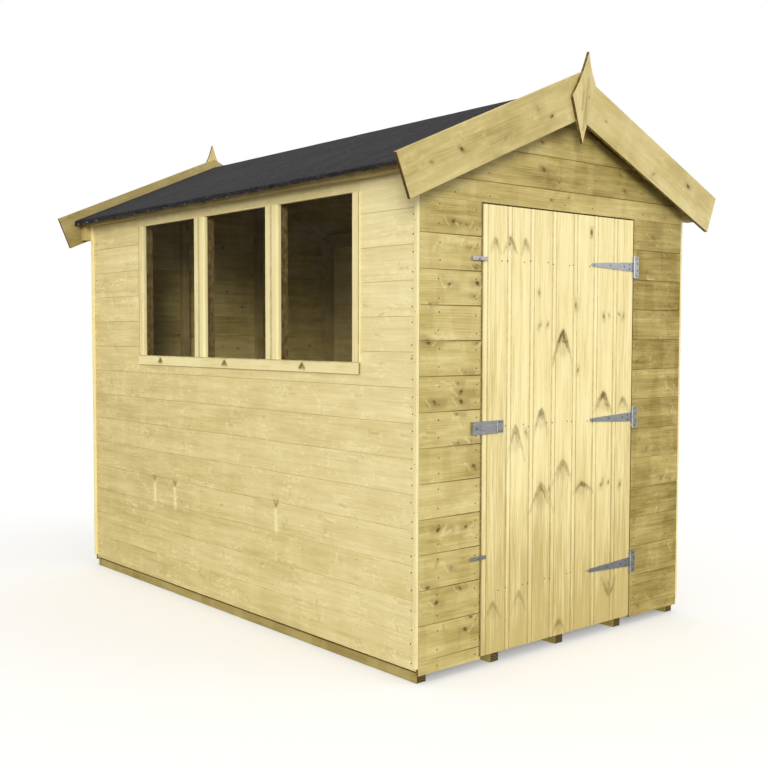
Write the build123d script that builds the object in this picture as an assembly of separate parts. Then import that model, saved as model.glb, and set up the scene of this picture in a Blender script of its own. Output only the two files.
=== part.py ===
from build123d import *
import math
import os

# Garden shed with a gable roof, a boarded door and fixed windows in its left wall.
# Millimetres. X runs across the front, the front faces -Y and Z is up from the ground.
# The origin is on the ground under the middle of the shed.

# Walls: each is a panel of boarding on a frame of squared timbers.
width = 1500.0
length = 2400.0
eaves_height = 1762.0
cladding_thickness = 12.0
frame_size = 38.0
side_wall_bottom = 43.0
gable_wall_bottom = 30.0
timber_gap = 0.3
middle_rail_height = 880.0
rear_stud_bays = 3
right_stud_bays = 3

# Base: bearers on the ground under a boarded floor.
bearer_count = 5
bearer_height = 34.0
bearer_width = 44.0
bearer_end_setback = 15.0
bearer_side_inset = 6.0
floor_thickness = 12.0
floor_edge_gap = 5.0

# Roof: boards on rafters, purlins and a ridge beam, under felt.
roof_pitch = 23.0
roof_board_thickness = 12.0
roof_board_edge_radius = 9.0
felt_thickness = 3.0
felt_turn_down = 22.0
eaves_overhang = 68.0
gable_overhang = 47.0
eaves_rail_width = 28.0
eaves_rail_depth = 26.0
eaves_rail_setback = 27.0
rafter_depth = 40.0
ridge_beam_width = 40.0
ridge_beam_depth = 70.0
purlin_width = 38.0
purlin_depth = 50.0

# Barge boards and the kite-shaped finials over their mitres.
barge_width = 157.0
barge_thickness = 15.0
barge_above_felt = 43.0
barge_beyond_wall = 160.0
finial_height = 340.0
finial_width = 140.0
finial_thickness = 14.0
finial_tip_to_shoulder = 148.0
finial_above_barge = 78.0
barge_block_width = 36.0
barge_block_depth = 70.0

# Cover strips on the side walls at the corners.
trim_thickness = 12.0
trim_width = 17.0
trim_bottom = 55.0
trim_below_roof = 21.0

# Doorway in the front, with rebated jambs, and the ledged and braced door.
left_panel_width = 300.0
doorway_width = 873.0
doorway_below_eaves = 125.0
door_bottom = 39.0
door_gap = 5.0
door_board_thickness = 12.0
jamb_lap = 14.0
jamb_clearance = 5.0
ledge_height = 95.0
ledge_thickness = 20.0
ledge_end_gap = 10.0
lower_ledge_from_bottom = 220.0
upper_ledge_from_top = 185.0
middle_ledge_drop = 5.0
brace_width = 70.0

# T hinges: a plate and pin on the wall, a long tapered strap on the door.
hinge_sheet_thickness = 2.5
hinge_roll_radius = 5.5
hinge_pin_radius = 3.0
hinge_plate_height = 87.0
hinge_plate_width = 33.0
hinge_strap_length = 268.0
hinge_strap_root_height = 36.0
hinge_strap_tip_height = 14.0
hinge_strap_shoulder = 10.0
pin_clearance = 0.1
knuckle_gap = 0.5

# Hasp on the door, over a staple on the wall.
hasp_above_middle = 4.0
hasp_height = 45.0
hasp_sheet_thickness = 2.5
hasp_roll_radius = 4.5
hasp_pin_radius = 2.0
hasp_leaf_width = 34.0
hasp_pin_from_door_edge = 71.0
hasp_strap_length = 133.0
hasp_lip = 7.0
hasp_slot_clearance = 3.0
staple_from_pin = 96.0
staple_wire_radius = 2.0
staple_width = 22.0
staple_stand_out = 20.0
staple_plate_width = 44.0

# Turn buttons: bars on pivot screws in the wall, lapping the edge of the door.
lower_button_from_bottom = 355.0
upper_button_from_top = 190.0
button_length = 77.0
button_height = 13.0
button_corner_radius = 3.0
button_thickness = 3.0
button_stand_off = 5.0
button_from_doorway = 20.0
button_screw_radius = 3.0
button_head_radius = 5.5
button_head_height = 2.5

# Windows: a row of fixed lights that fills the left wall between two piers.
window_count = 3
front_pier_width = 292.0
rear_pier_width = 473.0
window_below_eaves = 82.0
window_opening_height = 600.0
sill_height = 43.0
sill_proud = 9.0
stile_width = 45.0
stile_proud = 6.0
bead_width = 10.0
bead_drop = 5.0
pane_thickness = 3.0
pane_lap = 6.0
pane_edge_clearance = 1.0
edge_stud_width = 60.0

half_width = width / 2
half_length = length / 2
inner_x = half_width - cladding_thickness
inner_y = half_length - cladding_thickness
frame_x = inner_x - frame_size
frame_y = inner_y - frame_size
floor_top = bearer_height + floor_thickness
plate_top = floor_top + frame_size

slope = math.tan(math.radians(roof_pitch))
roof_cos = math.cos(math.radians(roof_pitch))
roof_sin = math.sin(math.radians(roof_pitch))
underside_apex = eaves_height + slope * half_width
board_apex = underside_apex + roof_board_thickness / roof_cos
felt_apex = board_apex + timber_gap + felt_thickness / roof_cos
barge_apex = felt_apex + barge_above_felt
roof_half_length = half_length + gable_overhang
barge_face = roof_half_length + barge_thickness

doorway_left = left_panel_width - half_width
doorway_right = doorway_left + doorway_width
doorway_top = eaves_height - doorway_below_eaves
door_left = doorway_left + door_gap
door_right = doorway_right - door_gap
door_top = doorway_top - door_gap
lower_ledge_level = door_bottom + lower_ledge_from_bottom
upper_ledge_level = door_top - upper_ledge_from_top
middle_ledge_level = (lower_ledge_level + upper_ledge_level) / 2 - middle_ledge_drop
ledge_levels = [lower_ledge_level, middle_ledge_level, upper_ledge_level]
hinge_pin_x = doorway_right - door_gap / 2
hinge_pin_y = -half_length - hinge_roll_radius
hasp_pin_x = door_left + hasp_pin_from_door_edge
hasp_pin_y = -half_length - hasp_roll_radius
hasp_level = middle_ledge_level + hasp_above_middle
button_x = doorway_left - button_from_doorway
lower_button_level = door_bottom + lower_button_from_bottom
upper_button_level = door_top - upper_button_from_top

window_top = eaves_height - window_below_eaves
window_bottom = window_top - window_opening_height
sill_bottom = window_bottom - sill_height
window_row_start = front_pier_width - inner_y
window_row_end = inner_y - rear_pier_width
window_width = (window_row_end - window_row_start) / window_count
mullion_stud_width = 2 * (stile_width - pane_lap - pane_edge_clearance)
head_rail_bottom = window_top + pane_lap + timber_gap


def under_roof(x):
    """Height of the underside of the roof boards at a distance from the ridge."""
    return underside_apex - slope * abs(x)


def timber(x, y, z):
    """A squared timber, board or sheet, given its two ends along each axis."""
    size = [abs(end - start) for start, end in (x, y, z)]
    middle = [(start + end) / 2 for start, end in (x, y, z)]
    return Pos(*middle) * Box(*size)


def gable_prism(points, y):
    """A piece with this outline seen from the front, between two depths."""
    face = make_face(Polyline(*points, close=True))
    return extrude(Plane.XZ.offset(-min(y)) * face, amount=min(y) - max(y))


def level_prism(points, z):
    """A piece with this plan, between two heights."""
    face = make_face(Polyline(*points, close=True))
    return Pos(0, 0, min(z)) * extrude(face, amount=max(z) - min(z))


def upright_rod(x, y, z, radius):
    """A round bar or knuckle standing on end, between two heights."""
    rod = Cylinder(radius, z[1] - z[0], align=(Align.CENTER, Align.CENTER, Align.MIN))
    return Pos(x, y, z[0]) * rod


def facing_rod(x, y, z, radius):
    """A round bar that points out of the front, between two depths."""
    rod = Cylinder(radius, abs(y[1] - y[0]), align=(Align.CENTER, Align.CENTER, Align.MIN))
    return Pos(x, max(y), z) * Rot(90, 0, 0) * rod


def save(name, *solids):
    """Write one piece, or a set of like pieces that don't touch, to its own file."""
    shape = solids[0] if len(solids) == 1 else Compound(children=list(solids))
    shape.label = name
    export_step(shape, "parts/" + name + ".step")


def base():
    """Bearers from front to back under the floor."""
    first = bearer_side_inset - half_width
    pitch = (-2 * first - bearer_width) / (bearer_count - 1)
    end = half_length - bearer_end_setback
    bearers = []
    for i in range(bearer_count):
        x = first + i * pitch
        bearers.append(timber((x, x + bearer_width), (-end, end), (0, bearer_height)))
    save("bearers", *bearers)
    edge_x = inner_x - floor_edge_gap
    edge_y = inner_y - floor_edge_gap
    save("floor_deck", timber((-edge_x, edge_x), (-edge_y, edge_y), (bearer_height, floor_top)))


def gable_outline(bottom):
    """Outline of a gable wall's boarding, from its bottom edge up to the roof boards."""
    return [(-half_width, bottom), (half_width, bottom), (half_width, eaves_height),
            (0, underside_apex), (-half_width, eaves_height)]


def gable_rafters(y):
    """The pair of sloping members under the roof at one gable."""
    rafters = []
    for side in (-1, 1):
        inner = side * timber_gap / 2
        outer = side * inner_x
        outline = [(inner, under_roof(inner)), (outer, under_roof(outer)),
                   (outer, under_roof(outer) - rafter_depth), (inner, under_roof(inner) - rafter_depth)]
        rafters.append(gable_prism(outline, y))
    return rafters


def jamb(edge, outward):
    """A door post, rebated on the room side so that the closed door lies in front of its lap."""
    back = edge + outward * frame_size
    lap = edge - outward * jamb_lap
    rebate = jamb_clearance - inner_y
    plan = [(back, -inner_y), (edge, -inner_y), (edge, rebate), (lap, rebate), (lap, -frame_y),
            (back, -frame_y)]
    return level_prism(plan, (floor_top, doorway_top - timber_gap))


def front_wall():
    """Boarding beside and over the doorway, and the frame behind it."""
    skin = (-half_length, -inner_y)
    height = (gable_wall_bottom, doorway_top)
    save("front_cladding_left", timber((-half_width, doorway_left), skin, height))
    save("front_cladding_right", timber((doorway_right, half_width), skin, height))
    save("front_cladding_gable", gable_prism(gable_outline(doorway_top), skin))

    depth = (-inner_y, -frame_y)
    post_top = under_roof(inner_x) - rafter_depth - timber_gap
    head_reach = frame_x - timber_gap
    members = gable_rafters(depth)
    for side in (-1, 1):
        members.append(timber((side * frame_x, side * inner_x), depth, (floor_top, post_top)))
    members.append(jamb(doorway_left, -1))
    members.append(jamb(doorway_right, 1))
    members.append(timber((-head_reach, head_reach), depth, (doorway_top, doorway_top + frame_size)))
    save("front_frame", *members)


def rear_wall():
    """Plain boarded gable and the frame inside it."""
    save("rear_cladding", gable_prism(gable_outline(gable_wall_bottom), (inner_y, half_length)))

    depth = (frame_y, inner_y)
    bay = (2 * inner_x - frame_size) / rear_stud_bays
    rail = (middle_rail_height, middle_rail_height + frame_size)
    members = gable_rafters(depth)
    for i in range(rear_stud_bays + 1):
        near = i * bay - inner_x
        far = near + frame_size
        foot = floor_top if i in (0, rear_stud_bays) else plate_top + timber_gap
        top = under_roof(max(abs(near), abs(far))) - rafter_depth - timber_gap
        members.append(timber((near, far), depth, (foot, top)))
        if i < rear_stud_bays:
            members.append(timber((far + timber_gap, near + bay - timber_gap), depth, rail))
    reach = frame_x - timber_gap
    members.append(timber((-reach, reach), depth, (floor_top, plate_top)))
    save("rear_frame", *members)


def side_plates(depth):
    """The bottom plate and the head rail of a side wall."""
    run = frame_y - timber_gap
    head = (head_rail_bottom, head_rail_bottom + frame_size)
    return [timber(depth, (-run, run), (floor_top, plate_top)), timber(depth, (-run, run), head)]


def right_wall():
    """Plain boarded side and the frame inside it."""
    height = (side_wall_bottom, eaves_height)
    save("right_cladding", timber((inner_x, half_width), (-inner_y, inner_y), height))

    depth = (frame_x, inner_x)
    run = frame_y - timber_gap
    bay = (2 * run - frame_size) / right_stud_bays
    stud = (plate_top + timber_gap, head_rail_bottom - timber_gap)
    rail = (middle_rail_height, middle_rail_height + frame_size)
    members = side_plates(depth)
    for i in range(right_stud_bays + 1):
        near = i * bay - run
        far = near + frame_size
        members.append(timber(depth, (near, far), stud))
        if i < right_stud_bays:
            members.append(timber(depth, (far + timber_gap, near + bay - timber_gap), rail))
    save("right_frame", *members)


def left_wall():
    """Boarding round the row of windows, and the frame inside it."""
    skin = (-half_width, -inner_x)
    lights = (sill_bottom, window_top)
    save("left_cladding_lower", timber(skin, (-inner_y, inner_y), (side_wall_bottom, sill_bottom)))
    save("left_cladding_front", timber(skin, (-inner_y, window_row_start), lights))
    save("left_cladding_rear", timber(skin, (window_row_end, inner_y), lights))
    save("left_cladding_upper", timber(skin, (-inner_y, inner_y), (window_top, eaves_height)))

    depth = (-inner_x, -frame_x)
    run = frame_y - timber_gap
    half_stud = mullion_stud_width / 2
    row_near = window_row_start + half_stud
    row_far = window_row_end - half_stud
    studs = [(-run, frame_size - run), (row_near - edge_stud_width, row_near)]
    for i in range(1, window_count):
        joint = window_row_start + i * window_width
        studs.append((joint - half_stud, joint + half_stud))
    studs.append((row_far, row_far + edge_stud_width))
    studs.append((run - frame_size, run))
    rail_top = window_bottom - pane_lap - timber_gap
    rail = (rail_top - frame_size, rail_top)
    members = side_plates(depth)
    for near, far in studs:
        members.append(timber(depth, (near, far), (plate_top + timber_gap, head_rail_bottom - timber_gap)))
    for (_, near), (far, _) in zip(studs[1:-2], studs[2:-1]):
        members.append(timber(depth, (near + timber_gap, far - timber_gap), rail))
    save("left_frame", *members)


def window(number, near):
    """One fixed light: two beaded stiles, a weathered sill and its pane."""
    far = near + window_width
    face = -half_width - stile_proud
    bead_face = face + bead_drop
    nose = -half_width - sill_proud
    back = -inner_x
    solids = []
    for edge, inward in ((near, 1), (far, -1)):
        outer = edge + inward * timber_gap / 2
        bead = edge + inward * (stile_width - bead_width)
        inner = edge + inward * stile_width
        plan = [(face, outer), (face, bead), (bead_face, bead), (bead_face, inner), (back, inner),
                (back, outer)]
        solids.append(level_prism(plan, (window_bottom + timber_gap, window_top - timber_gap)))
    drip = sill_bottom + timber_gap
    section = [(back, window_bottom), (face, window_bottom), (nose, window_bottom - bead_drop),
               (nose, drip), (back, drip)]
    solids.append(gable_prism(section, (near + timber_gap / 2, far - timber_gap / 2)))
    save("window_frame_" + number, *solids)

    lap = stile_width - pane_lap
    pane = timber((back + timber_gap, back + timber_gap + pane_thickness), (near + lap, far - lap),
                  (window_bottom - pane_lap, window_top + pane_lap))
    save("window_pane_" + number, pane)


def corner_trims():
    """Cover strips over the joints between the side walls and the gables."""
    trims = []
    top = under_roof(half_width + trim_thickness) - trim_below_roof
    for side in (-1, 1):
        for end in (-1, 1):
            x = (side * half_width, side * (half_width + trim_thickness))
            y = (end * half_length, end * (half_length - trim_width))
            trims.append(timber(x, y, (trim_bottom, top)))
    save("corner_trims", *trims)


def roof_slope(name, side):
    """One slope: its boards with a rounded eaves edge, the felt folded over it, and the rail below."""
    y = (-roof_half_length, roof_half_length)
    ridge = side * timber_gap / 2
    eave = side * (half_width + eaves_overhang)
    edge = eave + side * roof_board_thickness * roof_sin
    edge_top = under_roof(eave) + roof_board_thickness * roof_cos
    section = make_face(Polyline((ridge, under_roof(ridge)), (eave, under_roof(eave)), (edge, edge_top),
                                 (ridge, board_apex - slope * timber_gap / 2), close=True))
    corner = section.vertices().sort_by_distance((edge, edge_top))[0]
    section = fillet(corner, roof_board_edge_radius)
    save("roof_boards_" + name, extrude(Plane.XZ.offset(max(y)) * section, amount=min(y) - max(y)))

    inside = edge + side * timber_gap
    fold = edge_top + timber_gap - slope * timber_gap
    outside = inside + side * felt_thickness
    outer_fold = fold + felt_thickness / roof_cos - slope * felt_thickness
    hem = fold - felt_turn_down
    sheet = make_face(Polyline((ridge, board_apex + timber_gap), (inside, fold), (inside, hem),
                               (outside, hem), (outside, outer_fold), (ridge, felt_apex), close=True))
    sheet = fillet(sheet.vertices().sort_by_distance((inside, fold))[0], roof_board_edge_radius)
    sheet = fillet(sheet.vertices().sort_by_distance((outside, outer_fold))[0],
                   roof_board_edge_radius + felt_thickness)
    save("roof_felt_" + name, extrude(Plane.XZ.offset(max(y)) * sheet, amount=min(y) - max(y)))

    outer = eave - side * eaves_rail_setback
    inner = outer - side * eaves_rail_width
    foot = under_roof(outer) - eaves_rail_depth
    save("eaves_rail_" + name, gable_prism([(inner, under_roof(inner)), (outer, under_roof(outer)),
                                            (outer, foot), (inner, foot)], y))


def roof():
    """Both slopes, and the ridge beam and purlins that run between the gable frames."""
    roof_slope("left", -1)
    roof_slope("right", 1)
    y = (timber_gap - frame_y, frame_y - timber_gap)
    half_beam = ridge_beam_width / 2
    foot = underside_apex - ridge_beam_depth
    beam = [(-half_beam, under_roof(half_beam)), (0, underside_apex), (half_beam, under_roof(half_beam)),
            (half_beam, foot), (-half_beam, foot)]
    save("ridge_beam", gable_prism(beam, y))
    purlins = []
    for side in (-1, 1):
        near = side * (half_width - purlin_width) / 2
        far = near + side * purlin_width
        foot = under_roof(far) - purlin_depth
        section = [(near, under_roof(near)), (far, under_roof(far)), (far, foot), (near, foot)]
        purlins.append(gable_prism(section, y))
    save("purlins", *purlins)


def barge_boards(name, end):
    """The mitred pair of barge boards at one gable, square at the foot, and the finial over the mitre."""
    board = (end * roof_half_length, end * barge_face)
    cover = (end * barge_face, end * (barge_face + finial_thickness))
    reach = half_width + barge_beyond_wall
    foot_top = barge_apex - slope * reach
    for hand, side in (("left", -1), ("right", 1)):
        mitre = side * timber_gap / 2
        foot_low = (side * (reach - barge_width * roof_sin), foot_top - barge_width * roof_cos)
        outline = [(mitre, barge_apex), (side * reach, foot_top), foot_low,
                   (mitre, barge_apex - barge_width / roof_cos)]
        save(name + "_barge_" + hand, gable_prism(outline, board))
    tip = barge_apex + finial_above_barge
    shoulder = tip - finial_tip_to_shoulder
    kite = [(0, tip), (finial_width / 2, shoulder), (0, tip - finial_height), (-finial_width / 2, shoulder)]
    save(name + "_finial", gable_prism(kite, cover))


def barge_blocks():
    """Short blocks under the eaves at each corner, from the gable wall out to the barge board."""
    outer = half_width + eaves_overhang - eaves_rail_setback
    inner = outer - barge_block_width
    top = under_roof(outer) - eaves_rail_depth - timber_gap
    blocks = []
    for side in (-1, 1):
        for end in (-1, 1):
            y = (end * (half_length + timber_gap), end * (roof_half_length - timber_gap))
            blocks.append(timber((side * inner, side * outer), y, (top - barge_block_depth, top)))
    save("barge_blocks", *blocks)


def door():
    """The door's boards, with ledges across the back and a brace rising from the hinge side in each bay."""
    back = door_board_thickness - half_length
    save("door_boards", timber((door_left, door_right), (-half_length, back), (door_bottom, door_top)))

    left = doorway_left + jamb_lap + ledge_end_gap
    right = doorway_right - jamb_lap - ledge_end_gap
    depth = (back, back + ledge_thickness)
    half = ledge_height / 2
    ledges = [timber((left, right), depth, (level - half, level + half)) for level in ledge_levels]
    save("door_ledges", *ledges)

    braces = []
    for lower, upper in zip(ledge_levels, ledge_levels[1:]):
        foot = lower + half + timber_gap
        head = upper - half - timber_gap
        outline = [(right - brace_width, foot), (right, foot), (left + brace_width, head), (left, head)]
        braces.append(gable_prism(outline, depth))
    save("door_braces", *braces)


def pinned_plate(pin, plate_end, z, sheet, roll_radius, pin_radius):
    """A hinge leaf with two knuckles, cut away between them for the middle knuckle, and its pin."""
    third = (z[1] - z[0]) / 3
    middle = (z[0] + third, z[1] - third)
    x, y = pin
    clear = x + math.copysign(roll_radius + knuckle_gap, plate_end - x)
    plate = timber((x, plate_end), (-half_length - sheet, -half_length), z)
    plate -= timber((x - roll_radius, clear), (-half_length - 2 * sheet, -half_length), middle)
    for knuckle in ((z[0], middle[0]), (middle[1], z[1])):
        plate += upright_rod(x, y, knuckle, roll_radius)
    return plate + upright_rod(x, y, z, pin_radius)


def middle_knuckle(blade, root, pin, sheet_y, z, roll_radius, pin_radius):
    """A blade with the knuckle that turns on the pin, bored through for it."""
    third = (z[1] - z[0]) / 3
    knuckle = (z[0] + third + knuckle_gap, z[1] - third - knuckle_gap)
    x, y = pin
    blade += timber((root, x), sheet_y, knuckle)
    blade += upright_rod(x, y, knuckle, roll_radius)
    return blade - upright_rod(x, y, z, pin_radius + pin_clearance)


def t_hinges():
    """Three hinges, one at each ledge."""
    pin = (hinge_pin_x, hinge_pin_y)
    flat = (-half_length - hinge_sheet_thickness, -half_length)
    root = hinge_pin_x - hinge_roll_radius - knuckle_gap
    taper = root - hinge_strap_shoulder
    end = hinge_pin_x - hinge_strap_length
    half_root = hinge_strap_root_height / 2
    half_tip = hinge_strap_tip_height / 2
    plates = []
    straps = []
    for level in ledge_levels:
        z = (level - hinge_plate_height / 2, level + hinge_plate_height / 2)
        plates.append(pinned_plate(pin, hinge_pin_x + hinge_plate_width, z,
                                   hinge_sheet_thickness, hinge_roll_radius, hinge_pin_radius))
        outline = [(root, level - half_root), (taper, level - half_root), (end + half_tip, level - half_tip),
                   (end, level), (end + half_tip, level + half_tip), (taper, level + half_root),
                   (root, level + half_root)]
        straps.append(middle_knuckle(gable_prism(outline, flat), root, pin, flat, z,
                                     hinge_roll_radius, hinge_pin_radius))
    save("hinge_plates", *plates)
    save("hinge_straps", *straps)


def hasp():
    """Leaf on the door, slotted strap with a lip at its end, and the staple that stands through the slot."""
    z = (hasp_level - hasp_height / 2, hasp_level + hasp_height / 2)
    pin = (hasp_pin_x, hasp_pin_y)
    save("hasp_leaf", pinned_plate(pin, hasp_pin_x + hasp_leaf_width, z,
                                   hasp_sheet_thickness, hasp_roll_radius, hasp_pin_radius))

    strap_back = hasp_pin_y + hasp_sheet_thickness / 2
    strap_face = strap_back - hasp_sheet_thickness
    root = hasp_pin_x - hasp_roll_radius - knuckle_gap
    end = hasp_pin_x - hasp_strap_length
    staple_x = hasp_pin_x - staple_from_pin
    slot_x = staple_width / 2 + hasp_slot_clearance
    slot_z = staple_wire_radius + hasp_slot_clearance
    strap = timber((end, root), (strap_face, strap_back), z)
    strap += timber((end, end + hasp_sheet_thickness), (strap_face - hasp_lip, strap_back), z)
    strap -= timber((staple_x - slot_x, staple_x + slot_x), (strap_face, strap_back),
                    (hasp_level - slot_z, hasp_level + slot_z))
    save("hasp_strap", middle_knuckle(strap, root, pin, (strap_face, strap_back), z,
                                      hasp_roll_radius, hasp_pin_radius))

    half_plate = staple_plate_width / 2
    plate_face = -half_length - hasp_sheet_thickness
    plate = timber((staple_x - half_plate, staple_x + half_plate), (plate_face, -half_length), z)
    bend = staple_width / 2 - staple_wire_radius
    crown = -half_length - staple_stand_out + staple_wire_radius
    near = (staple_x - bend, -half_length, hasp_level)
    far = (staple_x + bend, -half_length, hasp_level)
    near_bend = (staple_x - bend, crown + bend, hasp_level)
    far_bend = (staple_x + bend, crown + bend, hasp_level)
    wire = Line(near, near_bend) + ThreePointArc(near_bend, (staple_x, crown, hasp_level), far_bend)
    wire += Line(far_bend, far)
    section = Plane(origin=near, z_dir=(0, -1, 0)) * Circle(staple_wire_radius)
    save("hasp_staple", plate + sweep(section, path=wire))


def turn_button(name, level):
    """One button: a bar held off the wall on its pivot screw."""
    back = -half_length - button_stand_off
    front = back - button_thickness
    bar = Plane.XZ.offset(-back) * RectangleRounded(button_length, button_height, button_corner_radius)
    button = Pos(button_x, 0, level) * extrude(bar, amount=button_thickness)
    button += facing_rod(button_x, (-half_length, back), level, button_screw_radius)
    button += facing_rod(button_x, (front, front - button_head_height), level, button_head_radius)
    save("turn_button_" + name, button)


os.makedirs("parts", exist_ok=True)
base()
front_wall()
rear_wall()
right_wall()
left_wall()
for index in range(window_count):
    window(str(index + 1), window_row_start + index * window_width)
corner_trims()
roof()
barge_boards("front", -1)
barge_boards("rear", 1)
barge_blocks()
door()
t_hinges()
hasp()
turn_button("lower", lower_button_level)
turn_button("upper", upper_button_level)
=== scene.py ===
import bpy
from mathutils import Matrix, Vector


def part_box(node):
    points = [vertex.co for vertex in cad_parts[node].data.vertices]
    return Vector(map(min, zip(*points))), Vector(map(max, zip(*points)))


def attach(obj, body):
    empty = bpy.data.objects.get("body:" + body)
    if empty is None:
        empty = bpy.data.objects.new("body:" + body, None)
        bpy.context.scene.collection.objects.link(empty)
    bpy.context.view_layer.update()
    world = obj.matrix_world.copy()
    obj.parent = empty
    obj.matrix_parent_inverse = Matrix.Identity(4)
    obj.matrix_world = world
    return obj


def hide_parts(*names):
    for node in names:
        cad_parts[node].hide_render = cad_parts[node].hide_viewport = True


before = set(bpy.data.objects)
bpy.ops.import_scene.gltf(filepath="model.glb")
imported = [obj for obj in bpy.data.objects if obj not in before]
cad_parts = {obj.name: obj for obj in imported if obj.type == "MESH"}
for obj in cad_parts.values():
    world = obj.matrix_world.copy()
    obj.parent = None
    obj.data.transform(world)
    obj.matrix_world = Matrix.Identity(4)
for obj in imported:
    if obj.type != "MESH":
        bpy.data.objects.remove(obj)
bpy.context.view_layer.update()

import copy
import math
import random

import bmesh
import bpy
from mathutils import Matrix, Vector

X = Vector((1, 0, 0))
Y = Vector((0, 1, 0))
Z = Vector((0, 0, 1))

# Sizes of the walls and roof that the boards follow, in metres.
HALF_WIDTH = 0.75
HALF_LENGTH = 1.2
SKIN = 0.012
SIDE_FOOT = 0.043
GABLE_FOOT = 0.03
SIDE_SEAM = 0.039
GABLE_SEAM = 0.077
EAVES = 1.762
SLOPE = math.tan(math.radians(23))
APEX = EAVES + SLOPE * HALF_WIDTH
BOARD_COVER = 0.12
UPPER_SEAM = 1.71
DOOR_EDGES = (-0.445, 0.418)
DOORWAY = (-0.45, 0.423)
DOOR_TOP = 1.632
DOORWAY_TOP = 1.637
DOOR_BOTTOM = 0.039
WINDOW_ROW = (-0.896, 0.715)
SILL_BOTTOM = 1.037
WINDOW_TOP = 1.68
STRIP_FACE = HALF_WIDTH + SKIN
LEDGE_LEVELS = (0.264, 0.848, 1.440)
HINGE_LEVELS = (0.259, 0.848, 1.447)
HASP_LEVEL = 0.852
BUTTON_LEVELS = {"lower": 0.394, "upper": 1.442}

# The cells in which a board's face carries its drawn figure.
CELL = 0.004


def srgb(red, green, blue):
    """A colour written in 0 to 255 as the linear colour that the shaders take."""
    parts = [c / 255 for c in (red, green, blue)]
    return tuple(c / 12.92 if c < 0.04045 else ((c + 0.055) / 1.055) ** 2.4 for c in parts) + (1.0,)


class Shade:
    """The nodes of a new material, or of a world, under construction."""

    def __init__(self, name, world=None):
        self.block = world or bpy.data.materials.new(name)
        self.block.use_nodes = True
        self.nodes = self.block.node_tree.nodes
        self.links = self.block.node_tree.links
        self.shader = self.nodes["Background" if world else "Principled BSDF"]

    def feed(self, socket, value):
        if isinstance(value, bpy.types.NodeSocket):
            self.links.new(value, socket)
        else:
            socket.default_value = value

    def surface(self, **values):
        for name, value in values.items():
            self.feed(self.shader.inputs[name.replace("_", " ")], value)

    def attribute(self, name):
        node = self.nodes.new("ShaderNodeAttribute")
        node.attribute_name = name
        return self.split(node.outputs["Vector"])

    def height(self):
        return self.split(self.nodes.new("ShaderNodeTexCoord").outputs["Object"])[2]

    def split(self, vector):
        node = self.nodes.new("ShaderNodeSeparateXYZ")
        self.links.new(vector, node.inputs[0])
        return node.outputs[0], node.outputs[1], node.outputs[2]

    def join(self, *parts):
        node = self.nodes.new("ShaderNodeCombineXYZ")
        for socket, part in zip(node.inputs, parts):
            self.feed(socket, part)
        return node.outputs[0]

    def math(self, operation, *values):
        node = self.nodes.new("ShaderNodeMath")
        node.operation = operation
        for socket, value in zip(node.inputs, values):
            self.feed(socket, value)
        return node.outputs[0]

    def times(self, a, b):
        return self.math("MULTIPLY", a, b)

    def plus(self, *values):
        total = values[0]
        for value in values[1:]:
            total = self.math("ADD", total, value)
        return total

    def distance(self, a, b):
        return self.math("SQRT", self.plus(self.times(a, a), self.times(b, b)))

    def bell(self, *terms):
        """exp of minus the sum of squares."""
        squares = [self.times(t, t) for t in terms]
        return self.math("EXPONENT", self.times(self.plus(*squares), -1.0))

    def noise(self, vector, scale=1.0, detail=2.0, roughness=0.5):
        node = self.nodes.new("ShaderNodeTexNoise")
        self.links.new(vector, node.inputs["Vector"])
        node.inputs["Scale"].default_value = scale
        node.inputs["Detail"].default_value = detail
        node.inputs["Roughness"].default_value = roughness
        return node.outputs["Fac"]

    def grit(self, stretch, scale=1.0, detail=2.0, roughness=0.5):
        """Noise over the object's own space, drawn together along X, Y and Z."""
        place = self.split(self.nodes.new("ShaderNodeTexCoord").outputs["Object"])
        place = self.join(*(self.times(part, share) for part, share in zip(place, stretch)))
        return self.noise(place, scale, detail, roughness)

    def spread(self, value, size):
        """A noise value turned into plus or minus half of size."""
        return self.times(self.math("SUBTRACT", value, 0.5), size)

    def remap(self, value, low, high, start=0.0, end=1.0):
        node = self.nodes.new("ShaderNodeMapRange")
        node.interpolation_type = "SMOOTHSTEP"
        names = ("Value", "From Min", "From Max", "To Min", "To Max")
        for name, part in zip(names, (value, low, high, start, end)):
            self.feed(node.inputs[name], part)
        return node.outputs["Result"]

    def ramp(self, value, *stops):
        node = self.nodes.new("ShaderNodeValToRGB")
        elements = node.color_ramp.elements
        while len(elements) < len(stops):
            elements.new(0.5)
        for element, (position, colour) in zip(elements, stops):
            element.position = position
            element.color = colour
        self.links.new(value, node.inputs[0])
        return node.outputs[0]

    def mix(self, share, first, second):
        node = self.nodes.new("ShaderNodeMix")
        node.data_type = "RGBA"
        self.feed(node.inputs[0], share)
        self.feed(node.inputs[6], first)
        self.feed(node.inputs[7], second)
        return node.outputs[2]

    def bump(self, height, distance):
        node = self.nodes.new("ShaderNodeBump")
        node.inputs["Distance"].default_value = distance
        self.links.new(height, node.inputs["Height"])
        self.links.new(node.outputs[0], self.shader.inputs["Normal"])


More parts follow.
